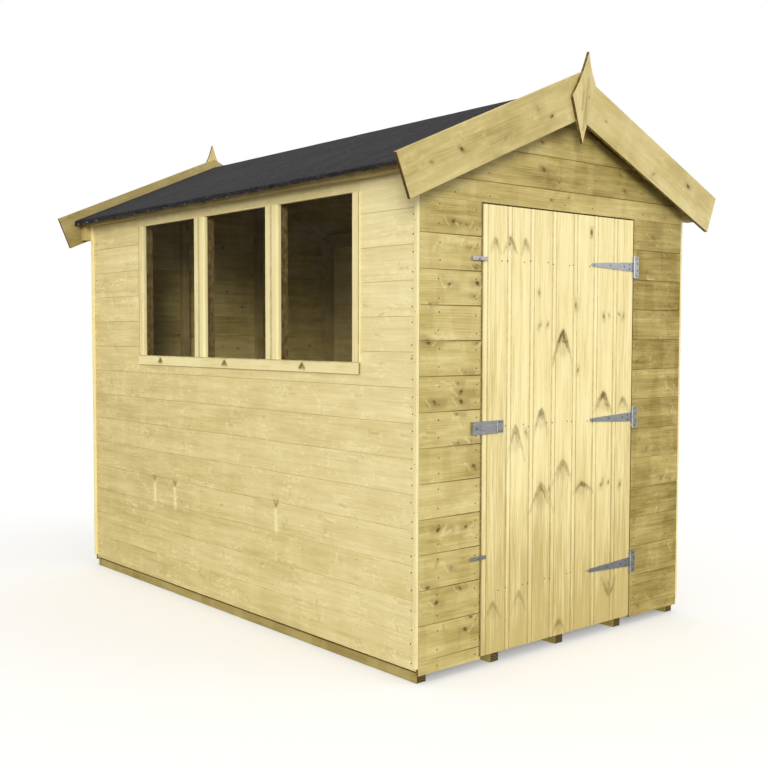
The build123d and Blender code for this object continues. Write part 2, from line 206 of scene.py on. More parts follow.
def wood(name, colours, rings, fibres, streaks, patches, blocks=0.12, crackle=0.0):
    """Softwood: growth rings of the board's log, fibres, blotches, stains, knots and end grain.

    The colours are the dark, middle and pale wood, the knots and the end grain. The attributes give each
    corner its place in the log, its place beside the nearest knot, and the board's tone, its drawn stains
    together with painted shade and painted light, and its share of end grain.
    """
    dark, mid, pale, knot, end = (srgb(*colour) for colour in colours)
    s = Shade(name)
    gu, gv, gw = s.attribute("grain")
    ku, kv, kr = s.attribute("knot")
    tone, stain_and_painted_shading, cut = s.attribute("board")

    def field(along, across, detail=2.0, roughness=0.5, shift=0.0):
        place = s.join(s.plus(s.times(gu, along), shift), s.times(gv, across), s.times(gw, across))
        return s.noise(place, 1, detail, roughness)

    def in_knots(value, size):
        return s.math("DIVIDE", value, s.times(kr, size))

    swirl = s.bell(in_knots(ku, 4.5), in_knots(kv, 2.2))
    across = s.plus(gv, s.spread(field(1.4, 7), 0.05))
    depth = s.plus(gw, s.spread(field(1.4, 7, shift=31), 0.05))
    radius = s.plus(s.distance(across, depth), s.times(s.times(swirl, kr), 1.3),
                    s.spread(field(25, 25), 0.0022))
    phase = s.math("FRACT", s.math("DIVIDE", radius, 0.0085))
    late = s.times(s.remap(phase, 0.3, 0.88), s.remap(phase, 0.9, 1.0, 1.0, 0.0))
    figure = s.times(late, s.remap(field(2.2, 9, shift=57), 0.5, 0.66))

    fibre = field(5, 150, 3, 0.65)
    streak = field(2.6, 42, 3, 0.6)
    patch = field(3.6, 13, 3, 0.65, 11)
    block = s.remap(s.plus(field(9, 1.5, 1, 0.4, 83), s.spread(streak, 0.05)), 0.47, 0.53)
    speck = field(40, 90, 3, 0.6)
    value = s.plus(0.5, s.times(tone, 0.16), s.times(figure, -rings), s.spread(fibre, fibres),
                   s.spread(streak, streaks), s.spread(patch, patches), s.spread(block, blocks))
    if crackle:
        flake = s.times(s.remap(speck, 0.5, 0.62), s.remap(field(7, 10, 2, 0.6, 44), 0.45, 0.6))
        value = s.plus(value, s.times(flake, crackle))
    colour = s.ramp(value, (0.0, dark), (0.5, mid), (1.0, pale))

    wobble = s.spread(field(60, 60), 0.012)
    reach = s.distance(in_knots(s.plus(ku, wobble), 1.15), in_knots(s.plus(kv, wobble), 1))
    core = s.remap(reach, 0.55, 1.25, 0.7, 0.0)
    halo = s.times(s.bell(in_knots(ku, 3.6), in_knots(kv, 1.7)), 0.2)
    # Drawn stains and painted shade turn the wood towards the knot colour; below zero, pale strokes and
    # painted light turn it towards the pale wood.
    drawn = s.times(stain_and_painted_shading, s.remap(s.plus(speck, s.spread(fibre, 0.4)), 0.3, 0.7, 0.7, 1.3))
    brown = s.math("MINIMUM", s.plus(s.math("MAXIMUM", drawn, 0.0), core, halo), 1.0)
    bright = s.math("MINIMUM", s.math("MAXIMUM", s.times(drawn, -1.0), 0.0), 1.0)
    colour = s.mix(bright, s.mix(brown, colour, knot), pale)
    colour = s.mix(s.times(cut, s.remap(phase, 0.2, 0.9, 0.75, 1.0)), colour, end)

    s.surface(Base_Color=colour, Roughness=s.plus(0.56, s.spread(streak, 0.2), s.times(late, 0.08)),
              Specular_IOR_Level=0.3)
    s.bump(s.plus(s.times(fibre, 0.8), s.times(figure, 0.45), s.times(brown, -0.4)), 0.0005)
    return s.block


def roofing_felt():
    """Mineral felt: a fine grit, streaks down the slope and pale torn flecks at the eaves."""
    s = Shade("roof_felt")
    grit = s.grit((1, 0.8, 1), 110, 4, 0.8)
    mottle = s.grit((1, 1, 1), 14, 3)
    streak = s.grit((4, 70, 4), 1, 3, 0.6)
    value = s.plus(0.5, s.spread(grit, 1.9), s.spread(mottle, 0.4), s.spread(streak, 0.8),
                   s.spread(s.grit((3, 3, 40)), 0.2))
    colour = s.ramp(value, (0.0, srgb(14, 12, 14)), (0.5, srgb(31, 29, 31)), (1.0, srgb(74, 72, 76)))
    speck = s.remap(s.grit((90, 70, 150), 1, 3), 0.6, 0.66)
    low = s.remap(s.height(), 1.724, 1.738, 1.0, 0.0)
    colour = s.mix(s.times(s.times(speck, low), 0.85), colour, srgb(168, 166, 160))
    s.surface(Base_Color=colour, Roughness=s.plus(0.85, s.spread(mottle, 0.16)), Specular_IOR_Level=0.15)
    s.bump(s.plus(s.times(grit, 0.7), s.times(streak, 0.8), mottle), 0.0012)
    return s.block


def zinc(name, dark, mid, pale):
    """Zinc plate with a faint spangle and scuffs."""
    s = Shade(name)
    spangle = s.grit((1, 1, 1), 160, 3)
    scuff = s.grit((35, 35, 240), 1, 3)
    value = s.plus(0.5, s.spread(spangle, 0.6), s.spread(scuff, 0.5))
    s.surface(Base_Color=s.ramp(value, (0.0, dark), (0.5, mid), (1.0, pale)),
              Roughness=s.plus(0.4, s.spread(scuff, 0.3)), Metallic=1.0)
    s.bump(s.plus(spangle, scuff), 0.0002)
    return s.block


def nail_heads_and_slot_shade():
    """Punched nail heads, and dark plates of painted shade in the cross slots of screws."""
    s = Shade("nail_heads_and_slot_shade")
    rust = s.grit((1, 1, 1), 300, 3)
    s.surface(Base_Color=s.ramp(rust, (0.3, srgb(58, 44, 20)), (0.7, srgb(104, 84, 44))),
              Roughness=s.plus(0.55, s.spread(rust, 0.3)), Metallic=0.3)
    s.bump(rust, 0.0002)
    return s.block


def glazing():
    """A thin clear sheet, slightly dusty and smeared, with a faint dark brown tint of painted shade over
    the inside seen through it.
    """
    s = Shade("glazing")
    dust_and_shade = s.grit((1, 1, 1), 6, 4, 0.6)
    smear = s.grit((3, 3, 14), 1, 3, 0.6)
    s.surface(Base_Color=s.ramp(dust_and_shade, (0.2, srgb(70, 66, 48)), (0.8, srgb(104, 98, 76))),
              Roughness=s.remap(dust_and_shade, 0.3, 0.8, 0.05, 0.2), Alpha=s.remap(smear, 0.35, 0.8, 0.04, 0.1),
              Specular_IOR_Level=0.06)
    s.bump(smear, 0.0002)
    return s.block


# Each finish is a material, most of them paired with the name of a slot that nothing here uses.
side_wood = wood("side_boards", ((190, 168, 100), (228, 208, 143), (252, 238, 180), (160, 134, 72),
                                 (150, 124, 62)), 0.06, 0.5, 0.55, 0.6, 0.05, 0.2), "side_cladding"
gable_wood = wood("gable_boards", ((134, 112, 42), (193, 173, 104), (230, 213, 150), (104, 82, 26),
                                   (112, 90, 36)), 0.1, 0.5, 0.6, 0.8, 0.09, 0.1), "gable_cladding"
door_wood = wood("door_boards_timber", ((204, 182, 116), (245, 228, 165), (255, 244, 190), (124, 100, 42),
                                        (150, 124, 62)), 0.1, 1.1, 0.9, 0.35, 0.0), "door_timber"
joinery_wood = wood("joinery", ((206, 184, 120), (244, 229, 168), (253, 242, 186), (130, 102, 44),
                                (140, 114, 54)), 0.08, 0.4, 0.5, 0.3, 0.06), "joinery_timber"
barge_wood = wood("barge_timber", ((152, 130, 66), (200, 181, 117), (230, 214, 156), (96, 74, 22),
                                   (82, 62, 18)), 0.1, 0.4, 0.4, 0.9, 0.06, 0.16), "barge_timber"
frame_wood = wood("frame_timber", ((128, 108, 58), (176, 155, 99), (206, 187, 130), (96, 72, 32),
                                   (150, 126, 76)), 0.2, 0.3, 0.4, 0.4), "frame_timber"
base_wood = wood("base_timber", ((112, 90, 34), (176, 156, 90), (206, 188, 128), (86, 66, 22),
                                 (60, 45, 8)), 0.25, 0.3, 0.5, 0.7), "base_timber"
felt = roofing_felt(), "roof_felt"
bright_zinc = zinc("zinc_plate", srgb(134, 135, 136), srgb(168, 169, 170), srgb(214, 215, 216))
screw_zinc = zinc("screw_zinc", srgb(78, 78, 80), srgb(108, 109, 112), srgb(150, 151, 154)), "zinc"
nails_and_slot_shade = nail_heads_and_slot_shade(), "zinc"
glass = glazing()


def span(a, b, more):
    """The reach from one number to another, and some more at both ends."""
    return min(a, b) - more, max(a, b) + more


class Grade:
    """One board's place in its log, its tone, its knots (u, v, radius) and the strokes of its figure.

    A stroke is (u1, v1, u2, v2, half width, strength), brown when its strength is positive, else pale.
    Light gives more tone along the board, and dark gives painted shade by the direction that a face looks;
    below zero it gives painted light.
    """

    def __init__(self, rng, knots=(), tone=None, strokes=(), light=None, dark=None):
        self.seed = rng.uniform(0, 60)
        self.pith = rng.uniform(-0.045, 0.045)
        self.depth = rng.uniform(0.025, 0.085)
        self.tilt = rng.uniform(-0.012, 0.012)
        self.tone = rng.uniform(-1, 1) if tone is None else tone
        self.knots = sorted(knots)
        self.strokes = list(strokes)
        self.light = light
        self.dark = dark

    def cuts(self):
        return [(a[0] + b[0]) / 2 for a, b in zip(self.knots, self.knots[1:]) if b[0] - a[0] > 0.002]

    def nearest(self, u):
        if not self.knots:
            return (u + 9, 9, 0.01)
        return min(self.knots, key=lambda k: abs(k[0] - u))

    def tone_at(self, u):
        return self.tone + (self.light(u) if self.light else 0)

    def stain_and_painted_shading_at(self, u, v):
        brown, pale = 0.0, 0.0
        for u1, v1, u2, v2, half, strength in self.strokes:
            low, high = span(u1, u2, 3.2 * half)
            if low < u < high:
                du, dv = u2 - u1, v2 - v1
                share = ((u - u1) * du + (v - v1) * dv) / (du * du + dv * dv + 1e-12)
                share = min(max(share, 0.0), 1.0)
                gap = math.hypot(u - u1 - du * share, v - v1 - dv * share) / half
                weight = 0.95 * math.exp(-gap * gap * gap) + 0.25 * math.exp(-0.3 * gap * gap)
                weight *= strength
                brown = max(brown, weight)
                pale = min(pale, weight)
        return brown + pale

    def refine(self, bm, axes):
        """Small cells on the face round the strokes, so that the figure shows."""
        origin, along, across, normal = axes
        boxes = [(*span(a[0], a[2], 2.3 * a[4]), *span(a[1], a[3], 2.3 * a[4])) for a in self.strokes]
        for direction, side, first, other in ((along, across, 0, 2), (across, along, 2, 0)):
            levels = {}
            for box in boxes:
                for k in range(math.floor(box[first] / CELL), math.ceil(box[first + 1] / CELL) + 1):
                    levels.setdefault(k, []).append((box[other] - CELL, box[other + 1] + CELL))
            pool = [f for f in bm.faces if f.normal.dot(normal) > 0.99]
            for k in sorted(levels):
                touched, rest = [], []
                for face in pool:
                    gaps = [(v.co - origin).dot(direction) - k * CELL for v in face.verts]
                    if max(gaps) < 1e-6:
                        continue
                    reach = [(v.co - origin).dot(side) for v in face.verts]
                    near = any(a < max(reach) and b > min(reach) for a, b in levels[k])
                    (touched if near and min(gaps) < -1e-6 else rest).append(face)
                pool = rest
                if touched:
                    geom = list({v for f in touched for v in f.verts})
                    geom += list({e for f in touched for e in f.edges}) + touched
                    place = origin + direction * (k * CELL)
                    found = bmesh.ops.bisect_plane(bm, geom=geom, plane_co=place, plane_no=direction,
                                                   dist=1e-6)
                    pool += [g for g in found["geom"] if isinstance(g, bmesh.types.BMFace)]


class Piece:
    """A mesh of timbers that all take the grain of their own board."""

    def __init__(self, name):
        self.name = name
        self.verts = []
        self.faces = []
        self.layers = {"grain": [], "knot": [], "board": []}

    def take(self, bm, axes, grade):
        origin, along, across, normal = axes
        for cut in grade.cuts():
            everything = bm.verts[:] + bm.edges[:] + bm.faces[:]
            bmesh.ops.bisect_plane(bm, geom=everything, plane_co=origin + along * cut, plane_no=along)
        grade.refine(bm, axes)
        bm.verts.index_update()
        first = len(self.verts)
        local = []
        for vert in bm.verts:
            offset = vert.co - origin
            u, v, w = offset.dot(along), offset.dot(across), offset.dot(normal)
            local.append((u, v, w, grade.stain_and_painted_shading_at(u, v), grade.tone_at(u)))
            self.verts.append(vert.co[:])
        for face in bm.faces:
            self.faces.append([first + v.index for v in face.verts])
            middle = sum(local[v.index][0] for v in face.verts) / len(face.verts)
            knot = grade.nearest(middle)
            end = 1.0 if abs(face.normal.dot(along)) > 0.75 else 0.0
            front = face.normal.dot(normal) > 0.3
            # Painted shade by the direction that the face looks; below zero it is painted light.
            extra = grade.dark(face.normal) if grade.dark else 0.0
            for vert in face.verts:
                u, v, w, stain_and_painted_shading, tone = local[vert.index]
                self.layers["grain"] += (u + grade.seed, v + grade.pith, w - grade.depth - grade.tilt * u)
                self.layers["knot"] += (u - knot[0], v - knot[1], knot[2])
                self.layers["board"] += (tone, stain_and_painted_shading * front + extra, end)
        bm.free()

    def build(self, finish, replaces=(), body="shed"):
        mesh = bpy.data.meshes.new(self.name)
        mesh.from_pydata(self.verts, [], self.faces)
        for name, values in self.layers.items():
            layer = mesh.attributes.new(name, "FLOAT_VECTOR", "CORNER")
            layer.data.foreach_set("vector", values)
        show(mesh, finish, replaces, body)


def add(name, data):
    """A new object in the scene."""
    obj = bpy.data.objects.new(name, data)
    bpy.context.scene.collection.objects.link(obj)
    return obj


def show(mesh, finish, replaces=(), body="shed"):
    """Put a mesh in the scene as a piece of the shed."""
    material, slot = finish
    obj = add(mesh.name, mesh)
    mesh.materials.append(material)
    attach(obj, body)
    if replaces:
        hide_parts(*replaces)


def hull(points):
    """The closed convex solid round some points."""
    bm = bmesh.new()
    for point in points:
        bm.verts.new(point)
    bmesh.ops.remove_doubles(bm, verts=bm.verts, dist=1e-5)
    found = bmesh.ops.convex_hull(bm, input=bm.verts)
    spare = [e for e in found["geom_interior"] + found["geom_unused"] if isinstance(e, bmesh.types.BMVert)]
    bmesh.ops.delete(bm, geom=list(set(spare)), context="VERTS")
    bmesh.ops.dissolve_limit(bm, angle_limit=0.02, verts=bm.verts, edges=bm.edges)
    bmesh.ops.recalc_face_normals(bm, faces=bm.faces)
    return bm


def clip(polygon, axis, limit, above):
    """The part of a flat outline on one side of a line across an axis."""
    kept = []
    sign = 1 if above else -1
    for a, b in zip(polygon, polygon[1:] + polygon[:1]):
        da, db = sign * (a[axis] - limit), sign * (b[axis] - limit)
        if da >= 0:
            kept.append(a)
        if da * db < 0:
            share = da / (da - db)
            kept.append(tuple(p + (q - p) * share for p, q in zip(a, b)))
    return kept


def band(polygon, low, high):
    return clip(clip(polygon, 1, low, True), 1, high, False)


def stray_knots(rng, rate, low_u, high_u, low_v, high_v, apart, size):
    """Random knots (u, v, radius) along a board, with their number by its length."""
    knots = []
    for _ in range(int(rate * (high_u - low_u) + rng.random())):
        u, v = rng.uniform(low_u, high_u), rng.uniform(low_v, high_v)
        if all(abs(u - k[0]) > apart for k in knots):
            knots.append((u, v, rng.uniform(*size)))
    return knots


def clad(piece, axes, regions, seams, rng, chamfer=0.0018, gap=0.0009, figure=(), knot_rate=1.2,
         knot_size=(0.003, 0.008), tones=None, proud=0.0004, light=None, line=None, dark=None):
    """Tongue-and-groove boards between seams, over convex regions, with V joints on the face.

    With a line, each board also has a second V that far below its upper joint.
    """
    origin, along, across, normal = axes

    def at(u, v, w):
        return origin + along * u + across * v + normal * w

    for number, (low, high) in enumerate(zip(seams, seams[1:])):
        parts = [band(region, low, high) for region in regions]
        parts = [p for p in parts if len(p) > 2 and max(q[1] for q in p) - min(q[1] for q in p) > 0.002]
        if not parts:
            continue
        reach = [q[0] for p in parts for q in p]
        strokes = []
        for stroke in figure:
            left, right = span(stroke[0], stroke[2], stroke[4])
            under, over = span(stroke[1], stroke[3], stroke[4])
            if over > low and under < high and right > min(reach) and left < max(reach):
                strokes.append(stroke)
        knots = stray_knots(rng, knot_rate, min(reach), max(reach), low + 0.012, high - 0.012, 0.1,
                            knot_size)
        tone = None if tones is None else tones[number % len(tones)]
        grade = Grade(rng, knots, tone, strokes, light, dark)
        lift = -rng.uniform(0, proud)
        lowest = min(q[1] for p in parts for q in p)
        highest = max(q[1] for p in parts for q in p)
        half = gap / 2
        edge_low = half if low >= lowest - 1e-6 and number > 0 else 0
        edge_high = half if high <= highest + 1e-6 and number < len(seams) - 2 else 0
        face_low = edge_low + chamfer if edge_low else 0.0004
        face_high = edge_high + chamfer if edge_high else 0.0004
        split = high - line if line else high
        for part in parts:
            rows = [(low + edge_low, high - edge_high, low + face_low, high - face_high)]
            if line:
                rows = [(low + edge_low, split - 5e-5, low + face_low, split - 0.0026),
                        (split + 5e-5, high - edge_high, split + 0.0026, high - face_high)]
            for row, (back_low, back_high, front_low, front_high) in enumerate(rows):
                own_grade = copy.copy(grade)
                own_grade.tone += 0.9 * row
                back = band(part, back_low, back_high)
                front = band(part, front_low, front_high)
                if len(back) < 3 or len(front) < 3:
                    continue
                points = [at(u, v, -SKIN) for u, v in back] + [at(u, v, lift - chamfer) for u, v in back]
                piece.take(hull(points + [at(u, v, lift) for u, v in front]), axes, own_grade)
            if edge_high:
                tongue = band(part, high - 2 * half, high)
                if len(tongue) > 2:
                    tongue = [(u, v + half * 2 * (v > high - half)) for u, v in tongue]
                    points = [at(u, v, w) for u, v in tongue for w in (-0.5 * SKIN, -0.8 * SKIN)]
                    piece.take(hull(points), axes, grade)


def seam_levels(first, lowest, highest):
    """Board joints from the lowest edge to the highest, with whole boards in between."""
    steps = [first + i * BOARD_COVER for i in range(40)]
    return [lowest] + [s for s in steps if lowest + 0.004 < s < highest - 0.004] + [highest]


def islands(bm):
    """The vertices of each separate solid."""
    left = set(bm.verts)
    while left:
        group = {left.pop()}
        edge = list(group)
        while edge:
            linked = {e.other_vert(v) for v in edge for e in v.link_edges} - group
            group |= linked
            edge = list(linked)
        left -= group
        yield group


def dress(name, node, finish, rng, body="shed", bevel=0.0012, figure=(), knot_rate=1.5, tone=None,
          dark=None):
    """Timbers with the shape of a CAD node, eased edges and grain along each timber."""
    piece = Piece(name)
    whole = bmesh.new()
    whole.from_mesh(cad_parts[node].data)
    bmesh.ops.remove_doubles(whole, verts=whole.verts, dist=1e-6)
    bmesh.ops.dissolve_limit(whole, angle_limit=0.02, verts=whole.verts, edges=whole.edges)

    whole.verts.index_update()
    whole.faces.index_update()

    def by_corner(group):
        return [round(min(v.co[i] for v in group), 4) for i in range(3)] + [group[0].index]

    groups = [sorted(group, key=lambda v: v.index) for group in islands(whole)]
    for group in sorted(groups, key=by_corner):
        bm = bmesh.new()
        made = {v: bm.verts.new(v.co) for v in group}
        for face in sorted({f for v in group for f in v.link_faces}, key=lambda f: f.index):
            bm.faces.new([made[v] for v in face.verts])
        bmesh.ops.recalc_face_normals(bm, faces=bm.faces)
        longest = max(bm.edges, key=lambda e: round(e.calc_length(), 5))
        along = (longest.verts[1].co - longest.verts[0].co).normalized()
        along = along * (1 if along.dot(Vector((1, 0.9, 0.8))) > 0 else -1)
        widest = max(bm.faces, key=lambda f: round(f.calc_area(), 7) * (abs(f.normal.dot(along)) < 0.3))
        normal = widest.normal.copy()
        middle = sum((v.co for v in bm.verts), Vector()) / len(bm.verts)
        if normal.dot(middle - Z) < 0:
            normal.negate()
        across = normal.cross(along)
        reach = [(v.co - middle).dot(along) for v in bm.verts]
        side = [(v.co - middle).dot(across) for v in bm.verts]
        strokes = []
        for start, stop, half, strength in figure:
            ends = [Vector(p) - middle for p in (start, stop)]
            u, v = (ends[0] + ends[1]).dot(along) / 2, (ends[0] + ends[1]).dot(across) / 2
            if min(reach) < u < max(reach) and min(side) < v < max(side):
                flat = [part for p in ends for part in (p.dot(along), p.dot(across))]
                strokes.append((*flat, half, strength))
        knots = stray_knots(rng, knot_rate, min(reach), max(reach), 0.8 * min(side), 0.8 * max(side),
                            0.08, (0.003, 0.008))
        sharp = [e for e in bm.edges if len(e.link_faces) == 2 and e.calc_face_angle() > 0.5]
        bmesh.ops.bevel(bm, geom=sharp, offset=bevel, segments=1, affect="EDGES", clamp_overlap=True)
        piece.take(bm, (middle, along, across, normal), Grade(rng, knots, tone, strokes, None, dark))
    whole.free()
    piece.build(finish, [node], body)


def plate(points, axes, low, high):
    """A closed sheet with any flat outline, between two distances along the normal."""
    origin, along, across, normal = axes
    bm = bmesh.new()
    rings = []
    for w in (low, high):
        rings.append([bm.verts.new(origin + along * u + across * v + normal * w) for u, v in points])
    bm.faces.new(rings[1])
    bm.faces.new(rings[0][::-1])
    for i in range(len(points)):
        j = (i + 1) % len(points)
        bm.faces.new((rings[0][i], rings[0][j], rings[1][j], rings[1][i]))
    bmesh.ops.recalc_face_normals(bm, faces=bm.faces)
    return bm


def spot_axes(spots):
    """The point, right, up and normal of each spot, which is a point on a surface and its normal."""
    for point, normal in spots:
        normal = Vector(normal)
        right = normal.orthogonal().normalized()
        yield Vector(point), right, normal.cross(right), normal


def heads(name, spots, finish, radius=0.0027, height=0.0005, body="shed", sides=10, sunk=0.0006,
          dome=0.7):
    """Round fastener heads at spots, as one piece."""
    verts, faces = [], []
    for point, right, up, normal in spot_axes(spots):
        first = len(verts)
        for share, lift in ((1.0, -sunk), (1.0, height * 0.4), (dome, height)):
            for i in range(sides):
                turn = 2 * math.pi * i / sides
                ring = right * math.cos(turn) + up * math.sin(turn)
                verts.append((point + ring * radius * share + normal * lift)[:])
        faces.append([first + i for i in range(sides)][::-1])
        faces.append([first + 2 * sides + i for i in range(sides)])
        for level in range(2):
            for i in range(sides):
                a = first + level * sides + i
                b = first + level * sides + (i + 1) % sides
                faces.append([a, b, b + sides, a + sides])
    mesh = bpy.data.meshes.new(name)
    mesh.from_pydata(verts, [], faces)
    show(mesh, finish, (), body)


def crosses(name, spots, radius, lift, body):
    """The cross slots of screw heads at spots, as one piece: dark plates of painted shade."""
    piece = Piece(name)
    a, b = radius, radius * 0.28
    outline = [(a, b), (b, b), (b, a), (-b, a), (-b, b), (-a, b),
               (-a, -b), (-b, -b), (-b, -a), (b, -a), (b, -b), (a, -b)]
    for axes in spot_axes(spots):
        piece.take(plate(outline, axes, lift - 0.0004, lift), axes, Grade(random.Random(1)))
    piece.build(nails_and_slot_shade, (), body)


# Knots and flames that stand out, at places read off the photo, in metres but for the strengths.
# A flame whose length is below zero opens upwards.
DOOR_FLAMES = [  # x, height of the point, half width, length, strength
    (-0.385, 1.515, 0.022, 0.05, 0.45), (-0.308, 1.52, 0.025, 0.05, 0.65),
    (-0.225, 1.518, 0.018, 0.05, 0.45), (-0.01, 1.19, 0.05, 0.12, 0.7),
    (-0.13, 0.9, 0.036, 0.09, 0.55), (-0.275, 0.845, 0.042, 0.12, 0.45),
    (0.235, 0.95, 0.044, 0.08, 0.6), (0.362, 0.925, 0.03, 0.05, 0.5),
    (-0.005, 0.7, 0.044, 0.08, 0.45), (-0.13, 0.625, 0.052, 0.11, 0.55),
    (0.108, 0.608, 0.05, 0.04, 0.6), (-0.385, 0.22, 0.036, 0.06, 0.35),
    (-0.25, 0.24, 0.038, 0.07, 0.35), (-0.02, 0.095, 0.034, 0.05, 0.4),
    (0.29, 0.145, 0.036, -0.07, 0.55),
]
DOOR_KNOTS = [  # x, height, size, strength
    (-0.31, 1.502, 0.007, 0.7), (0.153, 1.568, 0.007, 1.0), (0.065, 1.288, 0.009, 0.8),
    (0.235, 1.248, 0.007, 0.7), (0.268, 1.252, 0.004, 0.8), (0.333, 1.258, 0.004, 0.8),
    (0.359, 1.25, 0.006, 0.6), (-0.15, 1.331, 0.005, 0.8), (-0.145, 1.212, 0.006, 0.6),
    (-0.1, 1.214, 0.005, 0.7), (0.077, 1.042, 0.007, 0.7), (-0.01, 1.155, 0.007, 0.7),
    (0.258, 0.905, 0.009, 0.6), (-0.125, 0.87, 0.006, 0.6), (-0.215, 0.82, 0.007, 0.6),
    (0.08, 0.588, 0.006, 0.7), (0.232, 0.592, 0.008, 0.6), (0.276, 0.596, 0.004, 0.9),
    (0.35, 0.58, 0.007, 0.6), (-0.082, 0.602, 0.006, 0.7), (0.29, 0.185, 0.006, 0.7),
]
GABLE_KNOTS = [
    (-0.13, 1.78, 0.009, 0.9), (-0.14, 1.878, 0.004, 0.8), (0.33, 1.803, 0.006, 0.5),
    (0.357, 1.745, 0.008, 0.6), (-0.086, 1.673, 0.006, 0.6), (0.012, 1.69, 0.005, 0.4),
    (0.586, 1.772, 0.007, 0.3),
]
BARGE_KNOTS = [
    (-0.162, 1.959, 0.005, 0.9), (-0.619, 1.791, 0.006, 0.9), (-0.757, 1.735, 0.004, 0.8),
    (-0.406, 1.853, 0.01, 0.3), (-0.24, 1.975, 0.009, 0.3), (0.7, 1.786, 0.008, 0.9),
    (0.458, 1.812, 0.006, 0.5), (0.15, 1.98, 0.004, 0.5),
]
SIDE_NOTCHES = [(0.588, 0.505), (0.405, 0.5), (-0.379, 0.505)]  # y, height


def eye(rng, u, v, size, strength):
    """A small knot in a smudge that is drawn out along the grain."""
    lean = rng.uniform(-0.5, 0.5) * size
    return [(u - 0.4 * size, v - lean, u + 0.4 * size, v + lean, size, strength),
            (u - 1.8 * size, v - 2 * lean, u + 1.8 * size, v + 2 * lean, 1.6 * size, 0.35 * strength)]


def flame(rng, u, v, width, length, strength):
    """The arches that the grain makes over a knot, with their point at u, v and legs along the board."""
    made = [(u - 0.2 * length, v, u - 0.6 * length, v, 0.5 * width, 0.32 * strength)]
    width *= 1.2
    for ring in (0.5, 0.8, 1.05):
        for side in (-1, 1):
            before = (u - 0.3 * length * (1 - ring), v)
            bold, wide = rng.uniform(0.6, 1.2), rng.uniform(0.75, 1.15)
            for share in (0.12, 0.35, 0.65, 1.0):
                after = (u - length * (0.3 * (1 - ring) + ring * share) + rng.uniform(-0.003, 0.003),
                         v + side * wide * width * ring * share ** 0.7 + rng.uniform(-0.0015, 0.0015))
                half = 0.004 + 0.003 * (1 - share)
                made.append((*before, *after, half, bold * strength * (1.25 - 0.75 * share)))
                before = after
    return made


def whorls(rng, count, low_u, high_u, low_v, high_v, strength):
    """Knots of all sizes over a wall, each with a brown shade and pale torn grain beside it."""
    made = []
    for _ in range(count):
        u, v = rng.uniform(low_u, high_u), rng.uniform(low_v, high_v)
        size = rng.uniform(0.004, 0.009)
        made += eye(rng, u, v, size, strength * rng.uniform(0.6, 1.2))
        far = (u + rng.uniform(3, 9) * size, v + rng.uniform(-1, 1) * size)
        made.append((u - 3 * size, v, *far, 2.2 * size, 0.3 * strength))
        side = rng.choice((-1, 1))
        before = (u + side * 2.5 * size, v - 1.5 * size)
        for _ in range(3):
            after = (before[0] + side * size * rng.uniform(0.4, 1.6),
                     before[1] + size * rng.uniform(0.5, 1.6))
            made.append((*before, *after, 0.0035, -0.55 * strength))
            before = after
    return made


def scuffs(rng, count, low_u, high_u, low_v, high_v, strength=0.5):
    """Small pale and brown ticks of torn grain, scattered over a wall."""
    made = []
    for _ in range(count):
        u, v = rng.uniform(low_u, high_u), rng.uniform(low_v, high_v)
        for _ in range(rng.randint(1, 3)):
            length = rng.uniform(0.008, 0.05)
            turn = rng.choice((0.0, 0.15, -0.2, 1.3, -1.2)) + rng.uniform(-0.2, 0.2)
            weight = strength * rng.uniform(0.4, 1.0) * rng.choice((-1.3, -1.0, 0.7))
            made.append((u, v, u + length * math.cos(turn), v + 0.7 * length * math.sin(turn),
                         rng.uniform(0.002, 0.0045), weight))
            u, v = u + rng.uniform(-0.03, 0.03), v + rng.uniform(-0.015, 0.015)
    return made


def rect(low_u, high_u, low_v, high_v):
    return [(low_u, low_v), (high_u, low_v), (high_u, high_v), (low_u, high_v)]


def gable(foot):
    """A gable wall's outline from a level up."""
    return [(-HALF_WIDTH, foot), (HALF_WIDTH, foot), (HALF_WIDTH, EAVES), (0, APEX), (-HALF_WIDTH, EAVES)]


def wall_axes(origin, normal):
    """A wall's own frame: along the boards, up the wall and outwards."""
    return Vector(origin), Z.cross(normal), Z, Vector(normal)


def board_up(name, finish, node, axes, regions, seams, rng, body="shed", **look):
    """A wall, floor or slope of boards as one piece in place of a CAD node."""
    piece = Piece(name)
    clad(piece, axes, regions, seams, rng, **look)
    piece.build(finish, [node], body)


def paler_forward(u):
    """The left wall grows a little paler toward the front."""
    return 0.9 * u


def darker_below(z):
    """The door grows darker from its middle ledge down."""
    return 0.1 - 4.0 * max(0.0, 0.75 - z) / 0.75


def painted_joint_shade(normal):
    """Painted shade in the door's V joints, more of it on the sides that look right, away from the light.
    """
    return 0.55 * (0.3 < normal.x < 0.95) + 0.35 * (-0.95 < normal.x < -0.3)


rng = random.Random(11)
inner = HALF_LENGTH - SKIN
left_axes = wall_axes((-HALF_WIDTH, 0, 0), -X)
right_axes = wall_axes((HALF_WIDTH, 0, 0), X)
front_axes = wall_axes((0, -HALF_LENGTH, 0), -Y)
rear_axes = wall_axes((0, HALF_LENGTH, 0), Y)

